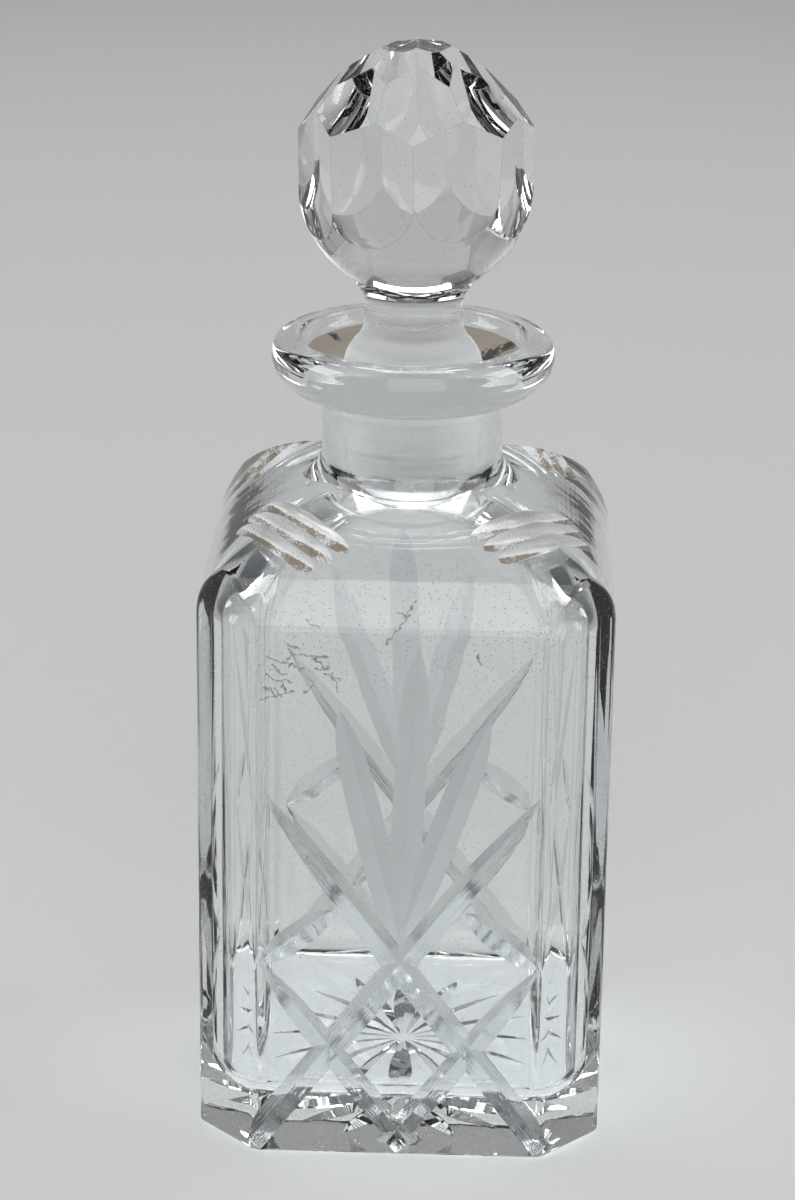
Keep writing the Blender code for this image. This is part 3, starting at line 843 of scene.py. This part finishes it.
@dataclass
class DecanterBody:
    """The square body with its shoulder, neck and lip, hollow and cut on every side.

    lip is the outline of the lip, as (radius, depth under the mouth), and neck_foot that of the
    neck's foot, as (radius, height). well_rim and well_wall are the outline of the well in the
    lip, as (distance out from well_radius, depth under the mouth). Angles are in degrees.
    spur_end, leaf_tips and the like are (across, height) on a face. The back of each V-shaped
    tool stands tool_rise out of the glass, and each next one a little more. The rays are off by
    up to ray_strays, in length and in degrees, as a sine that moves on by ray_beat with each.
    """

    width: float = 0.089
    corner_cut: float = 0.0129
    edge_rounding: float = 0.0033
    foot_bevel: float = 0.0008
    wall_height: float = 0.1215
    shoulder_rise: float = 0.024
    shoulder_top: float = 0.012
    shoulder_fullness: float = 1.65
    wall: float = 0.0055
    base: float = 0.011
    roof: float = 0.006
    cavity_corner: float = 0.012
    floor_rounding: float = 0.007
    wall_drop: float = 0.002
    ledge: float = 0.0012
    mouth_height: float = 0.175
    lip: tuple[Point, ...] = (
        (0.0262, 0.0), (0.0285, 0.0004), (0.02985, 0.0016), (0.03045, 0.0034), (0.0305, 0.0048),
        (0.0301, 0.0068), (0.0288, 0.0089), (0.0266, 0.0108), (0.0238, 0.0121), (0.0212, 0.0125),
        (0.02, 0.0133), (0.0196, 0.0148),
    )
    neck_foot: tuple[Point, ...] = (
        (0.0196, 0.1505), (0.01972, 0.1485), (0.0203, 0.1466), (0.0215, 0.1449),
        (0.0236, 0.1432), (0.0246, 0.1424),
    )
    neck_sink: float = 0.1405
    well_radius: float = 0.0241
    well_depth: float = 0.0036
    well_rim: Point = (0.0014, -0.0002)
    well_wall: tuple[Point, ...] = (
        (0.0009, -0.0001), (0.0002, 0.0005), (-0.0001, 0.0014), (-0.0006, 0.0028),
        (-0.0013, 0.0036), (-0.003, 0.0044),
    )
    bore_top_radius: float = 0.0152
    bore_top_height: float = 0.167
    bore_taper: float = 0.05
    mitre_angle: float = 125.0
    lattice_height: float = 0.0462
    half_pitch: float = 0.0151
    rise: float = 0.0204
    lattice_width: float = 0.0062
    border_width: float = 0.0055
    spur_width: float = 0.006
    spur_end: Point = (0.01405, 0.0592)
    leaf_width: float = 0.0068
    leaf_foot: float = 0.051
    leaf_tips: tuple[Point, ...] = ((0, 0.1205), (-0.016, 0.1052), (0.016, 0.1052))
    leaf_lean: float = 2.7
    gouge_width: float = 0.0041
    gouge_place: Point = (0.032, 0.1389)
    gouge_step: Point = (0.004, -0.0017)
    gouge_turn: float = -3.8
    gouge_climb: float = -5.2
    gouge_slope: float = 40
    tool_rise: float = 0.002
    tool_step: float = 0.00013
    ray_step: float = 0.00007
    rays: int = 16
    ray_length: float = 0.0305
    ray_width: float = 0.0052
    ray_start: float = 0.0015
    ray_strays: Point = (0.0003, 0.4)
    ray_beat: float = 2.3
    rim_depth: float = 0.0003
    arc_steps: int = 10
    turn_steps: int = 128
    cut_steps: int = 26
    gouge_steps: int = 24
    curve_steps: int = 6
    well_steps: int = 5
    foot_steps: int = 4
    floor_steps: int = 12
    roof_steps: int = 28
    shoulder_steps: tuple[int, int] = (16, 24)

    @property
    def half(self) -> float:
        """Half the width of the body."""
        return self.width / 2

    @property
    def roof_height(self) -> float:
        """Height of the top of the cavity."""
        return self.wall_height + self.shoulder_rise - self.roof

    def bore(self, height: float) -> float:
        """Radius of the ground bore at a height."""
        return self.bore_top_radius - (self.bore_top_height - height) * self.bore_taper

    def shoulder(self, start: float, end: float, foot: float, rise: float, angle: float) -> Point:
        """Half width and height of a shoulder.

        Args:
            start: Half width where it leaves the wall.
            end: Half width at its top.
            foot: Height where it leaves the wall.
            rise: How far it climbs.
            angle: 0 on the wall and a quarter turn at the top.

        Returns:
            The half width and the height.
        """
        share = max(math.cos(angle), 0) ** (2 / self.shoulder_fullness)
        return end + (start - end) * share, foot + rise * math.sin(angle)

    def block(self) -> BMesh:
        """The outside of the body, from its foot to the top of its shoulder.

        Returns:
            The mesh.
        """
        reach = self.width - self.corner_cut
        bevel = self.foot_bevel
        rounding = self.edge_rounding
        steps = self.arc_steps
        loops = []
        for angle in sweep(0, 90, self.foot_steps):
            inset = bevel * (1 - math.sin(angle))
            height = bevel * (1 - math.cos(angle))
            flat = reach - inset * math.sqrt(2)
            loops.append(section_loop(self.half - inset, flat, rounding - inset, height, steps))
        apex = reach / 2 + rounding * (1 - math.sqrt(0.5))
        share = (apex - self.shoulder_top) / (self.half - self.shoulder_top)
        turn = math.degrees(math.acos(share ** (self.shoulder_fullness / 2)))
        low, high = self.shoulder_steps
        for angle in sweep(0, turn, low)[:-1] + sweep(turn, 90, high):
            half, height = self.shoulder(
                self.half, self.shoulder_top, self.wall_height, self.shoulder_rise, angle
            )
            loops.append(section_loop(half, reach, rounding, height, steps))
        return loft(loops)

    def neck(self) -> BMesh:
        """The neck and the flared lip, with the neck's foot sunk in the shoulder.

        Returns:
            The mesh.
        """
        profile = [(0, self.mouth_height)]
        lip = [(out, self.mouth_height - down) for out, down in self.lip]
        profile += curve_through(lip, self.curve_steps)
        profile += curve_through(self.neck_foot, self.curve_steps)
        profile += [(self.neck_foot[-1][0], self.neck_sink), (0, self.neck_sink)]
        return spun(profile, self.turn_steps)

    def cavity(self) -> BMesh:
        """The square inside of the body, up to the foot of the bore.

        Returns:
            The mesh.
        """
        half = self.half - self.wall
        loops = []
        for angle in sweep(0, 90, self.floor_steps):
            inset = self.floor_rounding * (1 - math.sin(angle))
            height = self.base + self.floor_rounding * (1 - math.cos(angle))
            corner = self.cavity_corner - inset
            loops.append(section_loop(half - inset, self.width, corner, height, self.arc_steps))
        top = self.bore(self.roof_height) + self.ledge
        foot = self.wall_height - self.wall_drop
        for angle in sweep(0, 90, self.roof_steps):
            wide, height = self.shoulder(half, top, foot, self.roof_height - foot, angle)
            progress = (half - wide) / (half - top)
            corner = self.cavity_corner + (top - self.cavity_corner) * progress
            loops.append(section_loop(wide, self.width, corner, height, self.arc_steps))
        return loft(loops)

    def mouth_tool(self) -> BMesh:
        """The well in the lip, the funnel that leads to the bore, and the bore.

        Returns:
            The tool's mesh.
        """
        top = self.mouth_height
        start = self.roof_height - PAST
        wide = self.well_radius + self.well_rim[0]
        profile = [(0, top + PAST), (wide, top + PAST), (wide, top - self.well_rim[1])]
        wall = [(self.well_radius + out, top - down) for out, down in self.well_wall]
        profile += curve_through(wall, self.well_steps)
        profile.append((self.bore_top_radius, self.bore_top_height))
        profile += [(self.bore(start), start), (0, start)]
        return spun(profile, self.turn_steps)

    def mitre_tool(
        self, length: float, width: float, fullness: float, pointed: bool, rise: float
    ) -> BMesh:
        """A V-shaped tool along +Y whose cut deepens from a pointed tip.

        Args:
            length: Length of the cut.
            width: Its full width at the surface.
            fullness: How long it stays wide.
            pointed: Whether the far end is a tip too.
            rise: How far the tool stands out of the glass.

        Returns:
            The tool's mesh.
        """
        slope = math.tan(math.radians(self.mitre_angle / 2))
        depth = width / 2 / slope
        stations = []
        for step in range(self.cut_steps + 1):
            along = -math.cos(math.pi * step / self.cut_steps)
            share = (along + 1) / 2
            swell = 0.0 if along > 0 and not pointed else abs(along) ** fullness
            stations.append((length * share, depth * (1 - swell)))
        if not pointed:
            stations.append((length + PAST, depth))
        loops = []
        for y, deep in stations:
            wide = (deep + rise) * slope
            loops.append((Vector((-wide, y, rise)), Vector((0, y, -deep)), Vector((wide, y, rise))))
        return loft(loops)

    def on_face(self, start: Point, end: Point, turn: int) -> Matrix:
        """The place of a tool on a face.

        Args:
            start: Where the cut starts, as (across, height).
            end: Where it ends.
            turn: The face, as quarter turns from the front.

        Returns:
            The tool's matrix.
        """
        lean = math.degrees(math.atan2(end[0] - start[0], end[1] - start[1]))
        foot = Matrix.Translation((start[0], -self.half, start[1]))
        return turned(90 * turn, "Z") @ foot @ turned(lean, "Y") @ turned(90, "X")

    def face_tools(self, bench: Bench, turn: int) -> list[Object]:
        """The tools for the lattice, spurs and leaves of one face.

        Args:
            bench: Where they are built.
            turn: The face, as quarter turns from the front.

        Returns:
            The tools.
        """
        edge = 2 * self.half_pitch
        middle = self.lattice_height
        low = middle - 2 * self.rise
        high = middle + 2 * self.rise
        mitre = Surface.MITRE
        cuts = []
        for side in (-1, 1):
            corner = (side * edge, middle)
            spur_end = (side * self.spur_end[0], self.spur_end[1])
            cuts += [
                ((side * edge, high), (-side * edge, low), self.lattice_width, 3, False, mitre),
                (corner, (0, low), self.border_width, 3, False, mitre),
                (corner, spur_end, self.spur_width, 3, True, mitre),
            ]
        foot = Vector((0, self.leaf_foot))
        lean = Matrix.Rotation(math.radians(-self.leaf_lean), 2)
        for tip in self.leaf_tips:
            top = foot + lean @ (Vector(tip) - foot)
            cuts.append((tuple(foot), tuple(top), self.leaf_width, 4, True, Surface.LEAF))
        tools = []
        for index, (start, end, width, fullness, pointed, surface) in enumerate(cuts):
            # No two tools have their backs in one plane, which keeps the cuts clean.
            rise = self.tool_rise + self.tool_step * index
            mesh = self.mitre_tool(math.dist(start, end), width, fullness, pointed, rise)
            matrix = self.on_face(start, end, turn)
            tools.append(bench.lay(f"tool_{turn}_{index}", mesh, surface, matrix))
        return tools

    def gouge_tools(self, bench: Bench) -> list[Object]:
        """The tools for the round-bottomed gouges over the shoulder's corners.

        Args:
            bench: Where they are built.

        Returns:
            The tools.
        """
        radius = self.gouge_width / 2
        section = [Vector((radius, 0, 4 * radius)), Vector((-radius, 0, 4 * radius))]
        for angle in sweep(180, 360, self.gouge_steps):
            section.append(Vector((radius * math.cos(angle), 0, radius + radius * math.sin(angle))))
        shifts = [Vector((0, side * self.half / 2, 0)) for side in (-1, 1)]
        ends = [[point + shift for point in section] for shift in shifts]
        tools = []
        aim = turned(self.gouge_turn, "Z") @ turned(self.gouge_climb, "X")
        aim = aim @ turned(self.gouge_slope, "Y")
        for corner in range(4):
            for index in range(3):
                out = self.gouge_place[0] + index * self.gouge_step[0]
                height = self.gouge_place[1] + index * self.gouge_step[1]
                matrix = turned(45 + 90 * corner, "Z") @ Matrix.Translation((out, 0, height)) @ aim
                name = f"gouge_{corner}_{index}"
                tools.append(bench.lay(name, loft(ends), Surface.GOUGE, matrix))
        return tools

    def star_tools(self, bench: Bench) -> list[Object]:
        """The tools for the rays of the star under the base.

        Args:
            bench: Where they are built.

        Returns:
            The tools.
        """
        tools = []
        for ray in range(self.rays):
            stray = math.sin(self.ray_beat * ray)
            length = self.ray_length + self.ray_strays[0] * stray
            azimuth = 360 * ray / self.rays + self.ray_strays[1] * stray
            rise = self.tool_rise + self.ray_step * ray
            mesh = self.mitre_tool(length, self.ray_width, 2, True, rise)
            start = Matrix.Translation((0, self.ray_start, 0))
            matrix = turned(azimuth, "Z") @ start @ turned(180, "Y")
            tools.append(bench.lay(f"ray_{ray}", mesh, Surface.POLISHED, matrix))
        return tools

    def build(self, bench: Bench) -> Object:
        """Builds the body and gives it its finishes.

        Args:
            bench: Where it is built.

        Returns:
            The finished object.
        """
        piece = bench.lay("cut_glass_body", self.block(), Surface.POLISHED)
        tools = [tool for turn in range(4) for tool in self.face_tools(bench, turn)]
        bench.work(piece, "DIFFERENCE", tools + self.gouge_tools(bench) + self.star_tools(bench))
        neck = bench.lay("neck", self.neck(), Surface.POLISHED)
        for face in neck.data.polygons:
            if face.center.z > self.mouth_height - self.rim_depth:
                face.material_index = Surface.RIM.value
        bench.work(piece, "UNION", [neck])
        mouth = bench.lay("mouth", self.mouth_tool(), Surface.WELL)
        for face in mouth.data.polygons:
            if face.center.z < self.bore_top_height:
                face.material_index = Surface.GROUND_JOINT.value
            elif face.center.z < self.mouth_height - self.well_depth:
                face.material_index = Surface.FUNNEL.value
        inside = bench.lay("cavity", self.cavity(), Surface.INSIDE)
        bench.work(piece, "DIFFERENCE", [inside, mouth])
        bench.shade(piece)
        return piece


@dataclass(frozen=True)
class FacetRow:
    """A row of facets round the ball, each a little off its true place, as hand cutting leaves it.

    first is the azimuth of the first facet from the front, towards the right. Each facet has its
    own (azimuth, tilt, distance) to add, in degrees and millimetres.
    """

    first: float
    tilt: float
    distance: float
    strays: tuple[Place, ...]

    def planes(self) -> list[tuple[Vector, float]]:
        """The facets' planes, measured from the ball's centre.

        Returns:
            The outward direction and the distance of each.
        """
        found = []
        for index, (around, over, out) in enumerate(self.strays):
            azimuth = math.radians(self.first + 360 * index / len(self.strays) + around - 90)
            lift = math.radians(self.tilt + over)
            level = math.cos(lift)
            x, y = level * math.cos(azimuth), level * math.sin(azimuth)
            found.append((Vector((x, y, math.sin(lift))), self.distance + out / 1000))
        return found


@dataclass
class BallStopper:
    """The solid stopper: a ball cut in three rows of facets, a waisted shank and a ground plug.

    shank is the outline from the ball down to the plug, as (radius, height). The blank stands
    spare above the table until that is cut. Edges that turn by more than arris_angle, and lie no
    lower than arris_reach radii under the centre, are the arrises.
    """

    body: DecanterBody
    centre: float = 0.209
    radius: float = 0.0251
    table: float = 0.0281
    spare: float = 0.0022
    table_tilt: Place = (-0.02, 0.004, 1)
    shank: tuple[Point, ...] = (
        (0.0119, 0.1856), (0.011, 0.184), (0.0106, 0.1803), (0.0108, 0.177), (0.0117, 0.1749),
        (0.0129, 0.1735), (0.0142, 0.1715),
    )
    shank_top_radius: float = 0.0135
    plug_top: float = 0.169
    ground_height: float = 0.181
    seat_gap: float = 0.0003
    plug_reach: float = 0.001
    plug_rounding: float = 0.0012
    turn_steps: int = 160
    ball_steps: int = 36
    shank_steps: int = 8
    plug_steps: int = 5
    arris: float = 0.0002
    arris_angle: float = 8.0
    arris_reach: float = 0.6
    girdle: FacetRow = FacetRow(22.5, 0.0, 0.0229, (
        (0.1, 3.3, 0.34), (1.2, -0.5, 0.12), (1.0, 1.6, 0.24), (-0.8, 0.9, -0.1),
        (0.6, -1.1, 0.15), (0.3, -0.5, -0.06), (2.3, -0.8, -0.24), (-1.6, 1.3, -0.16),
    ))
    crown: FacetRow = FacetRow(0.0, 41.3, 0.026, (
        (1.5, 1.7, 0.21), (3.1, 3.2, 0.5), (0.0, 2.5, -0.14), (-1.0, 0.6, 0.1),
        (0.8, -0.9, 0.16), (-0.6, 1.2, -0.12), (-0.1, -2.8, -0.03), (2.5, -0.5, 0.23),
    ))
    star: FacetRow = FacetRow(22.5, 56.9, 0.0274, (
        (-1.3, -0.6, 0.32), (0.0, 0.9, 0.09), (0.0, 0.1, -0.02), (0.7, -0.4, 0.12),
        (-0.5, 0.5, 0.05), (0.6, 0.3, -0.32), (-0.4, -0.9, 0.11), (-1.2, 0.9, 0.37),
    ))

    def plug(self, height: float) -> float:
        """Radius of the ground plug at a height."""
        return self.body.bore(height) - self.seat_gap

    def profile(self) -> list[Point]:
        """The blank's outline, from the table down to the plug's end.

        Returns:
            The points, as (radius, height).
        """
        top = self.centre + self.table + self.spare
        points = [(0, top), (self.radius, top)]
        foot = math.degrees(math.acos(self.shank_top_radius / self.radius))
        for angle in sweep(0, foot, self.ball_steps):
            height = self.centre - self.radius * math.sin(angle)
            points.append((self.radius * math.cos(angle), height))
        plug_top = (self.plug(self.plug_top), self.plug_top)
        points += curve_through([points[-1], *self.shank, plug_top], self.shank_steps)[1:]
        end = self.body.roof_height - self.plug_reach
        wide, rounding = self.plug(end), self.plug_rounding
        rounded = [
            (self.plug(end + rounding), end + rounding),
            (wide - rounding / 4, end + rounding / 4),
            (wide - rounding, end),
        ]
        return [*points, *curve_through(rounded, self.plug_steps), (0, end)]

    def cut_facets(self, made: BMesh) -> None:
        """Cuts the facets on the blank, and softens their arrises.

        Args:
            made: The blank's mesh.
        """
        middle = Vector((0, 0, self.centre))
        planes = self.girdle.planes() + self.crown.planes() + self.star.planes()
        planes.append((Vector(self.table_tilt).normalized(), self.table))
        for direction, distance in planes:
            blank = made.verts[:] + made.edges[:] + made.faces[:]
            plane = {"plane_co": middle + distance * direction, "plane_no": direction}
            sliced = bmesh.ops.bisect_plane(made, geom=blank, dist=MERGE, clear_outer=True, **plane)
            rim = [item for item in sliced["geom_cut"] if isinstance(item, BMEdge)]
            bmesh.ops.edgeloop_fill(made, edges=rim)
        bmesh.ops.remove_doubles(made, verts=made.verts[:], dist=self.arris)
        cleaned(made)
        arrises = [
            edge
            for edge in made.edges
            if edge.is_manifold
            and edge.calc_face_angle() > math.radians(self.arris_angle)
            and edge.verts[0].co.z > self.centre - self.arris_reach * self.radius
        ]
        softened = bmesh.ops.bevel(
            made, geom=arrises, offset=self.arris, offset_type="OFFSET", affect="EDGES",
            segments=2, profile=0.5, material=-1, clamp_overlap=True,
        )
        for face in softened["faces"]:
            face.material_index = Surface.ARRIS.value

    def build(self, bench: Bench) -> Object:
        """Builds the stopper and gives it its finishes.

        Args:
            bench: Where it is built.

        Returns:
            The finished object.
        """
        made = spun(self.profile(), self.turn_steps)
        self.cut_facets(made)
        piece = bench.lay("ball_stopper", made, Surface.POLISHED)
        for face in piece.data.polygons:
            if face.center.z < self.ground_height:
                face.material_index = Surface.GROUND_JOINT.value
        bench.shade(piece)
        return piece


@dataclass(frozen=True)
class Softbox:
    """A rectangular studio lamp that looks at the decanter."""

    name: str
    place: Place
    size: Point
    power: float
    target: Place

    def build(self) -> None:
        """Adds the lamp to the scene."""
        lamp = bpy.data.lights.new(self.name, "AREA")
        lamp.shape = "RECTANGLE"
        lamp.size, lamp.size_y = self.size
        lamp.energy = self.power
        away = Vector(self.place) - Vector(self.target)
        turn = away.to_track_quat("Z", "Y").to_matrix().to_4x4()
        holder = placed(self.name, lamp, Matrix.Translation(self.place) @ turn)
        holder.visible_camera = False


@dataclass
class Studio:
    """The plain pale floor, the soft lamps and the camera.

    backdrop is the colour that the sky has near the horizon, and that the floor runs out into
    between the two distances floor_blend from floor_middle. camera_axes are the camera's right,
    up and back.
    """

    floor_size: float = 12.0
    floor_drop: float = 0.0003
    floor_middle: Place = (0.0, 0.35, 0.0)
    floor_blend: Point = (0.85, 1.75)
    floor_colour: Colour = (0.6, 0.6, 0.596, 1.0)
    backdrop: Colour = (0.36, 0.362, 0.365, 1.0)
    sky_high: Colour = (0.12, 0.125, 0.13, 1.0)
    sky_side: Colour = (0.09, 0.095, 0.1, 1.0)
    focal_length: float = 100.38
    sensor_width: float = 36.0
    clip: Point = (0.01, 50.0)
    camera_place: Place = (0.017302, -0.694025, 0.37021)
    camera_axes: tuple[Place, Place, Place] = (
        (0.999364, 0.033386, 0.012564), (-0.023342, 0.345693, 0.938057),
        (0.026974, -0.937753, 0.346253),
    )
    lamps: tuple[Softbox, ...] = (
        Softbox("left_softbox", (-1.3, -0.1, 0.9), (0.8, 0.9), 11.0, (0.0, 0.0, 0.2)),
        Softbox("right_softbox", (1.3, 0.0, 0.88), (0.8, 0.9), 9.0, (0.0, 0.0, 0.2)),
        Softbox("top_softbox", (0.0, 1.2, 1.6), (1.2, 0.4), 11.0, (0.0, 0.6, 0.0)),
        Softbox("front_softbox", (0.1, -1.15, 0.95), (1.1, 1.75), 10.0, (0.0, 0.0, 0.7)),
    )

    def floor(self) -> Object:
        """The floor that the decanter stands on.

        Returns:
            The floor's object.
        """
        made = bmesh.new()
        bmesh.ops.create_grid(made, x_segments=1, y_segments=1, size=self.floor_size / 2)
        bmesh.ops.translate(made, verts=made.verts[:], vec=(0, 0, -self.floor_drop))
        mesh = bpy.data.meshes.new("floor")
        made.to_mesh(mesh)
        made.free()
        mesh.materials.append(self.floor_material())
        return placed("floor", mesh)

    def floor_material(self) -> Material:
        """The floor's matt material, which runs out into the plain backdrop where it is seen.

        Returns:
            The material.
        """
        material, kit, shader = NodeKit.material("pale_floor")
        place = kit.node("TexCoord").outputs["Object"]
        darker = tuple(0.97 * value for value in self.floor_colour[:3]) + (1.0,)
        colour = kit.mix(kit.noise(place, 3.0, 2.0), darker, self.floor_colour)
        kit.join(shader, {"Base Color": colour})
        shader.inputs["Roughness"].default_value = 0.9
        away = kit.vector("DISTANCE", place, self.floor_middle)
        path = kit.node("LightPath").outputs
        rays = ("Is Camera Ray", "Is Glossy Ray", "Is Transmission Ray")
        blend = kit.ramp(away, *self.floor_blend)
        far = kit.product(blend, kit.largest(path[ray] for ray in rays))
        kit.surface(far, shader, kit.node("Emission", {"Color": self.backdrop}))
        return material

    def camera(self) -> None:
        """The camera, at the photo's place and angle."""
        lens = bpy.data.cameras.new("camera")
        lens.lens = self.focal_length
        lens.sensor_width = self.sensor_width
        lens.sensor_fit = "AUTO"
        lens.clip_start, lens.clip_end = self.clip
        turn = Matrix(self.camera_axes).transposed().to_4x4()
        matrix = Matrix.Translation(self.camera_place) @ turn
        bpy.context.scene.camera = placed("camera", lens, matrix)

    def sky(self) -> None:
        """The soft sky, darker overhead and to the sides than behind."""
        world = bpy.data.worlds.new("studio")
        bpy.context.scene.world = world
        world.use_nodes = True
        kit = NodeKit(world.node_tree)
        way = kit.split(kit.node("TexCoord").outputs["Generated"])
        colour = kit.mix(kit.ramp(way["Z"], 0.35, 0.8), self.backdrop, self.sky_high)
        aside = kit.ramp(kit.math("ABSOLUTE", way["X"]), 0.3, 0.75)
        share = kit.product(aside, kit.ramp(way["Z"], 0.02, 0.25))
        colour = kit.mix(share, colour, self.sky_side)
        kit.join(kit.tree.nodes["Background"], {"Color": colour})

    def build(self) -> Object:
        """Builds the lamps, the camera, the sky and the floor.

        Returns:
            The floor.
        """
        self.sky()
        for lamp in self.lamps:
            lamp.build()
        self.camera()
        bpy.context.scene.view_settings.view_transform = "Standard"
        return self.floor()


def main() -> None:
    """Builds the decanter, its stopper and the stage in order."""
    logging.basicConfig(level=logging.INFO, format="%(name)s: %(message)s")
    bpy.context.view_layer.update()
    for start in (specks_group, scratches_group, grain_group, hairline_group):
        start()
    bench = Bench([FINISHES[surface].build() for surface in Surface])

    decanter = DecanterBody()
    body = decanter.build(bench)
    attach(body, "decanter")
    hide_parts("decanter_body")
    LOG.info("%s: %d faces", body.name, len(body.data.polygons))

    stopper = BallStopper(decanter).build(bench)
    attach(stopper, "stopper")
    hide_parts("stopper")
    LOG.info("%s: %d faces", stopper.name, len(stopper.data.polygons))

    Studio().build()


if __name__ == "__main__":
    main()
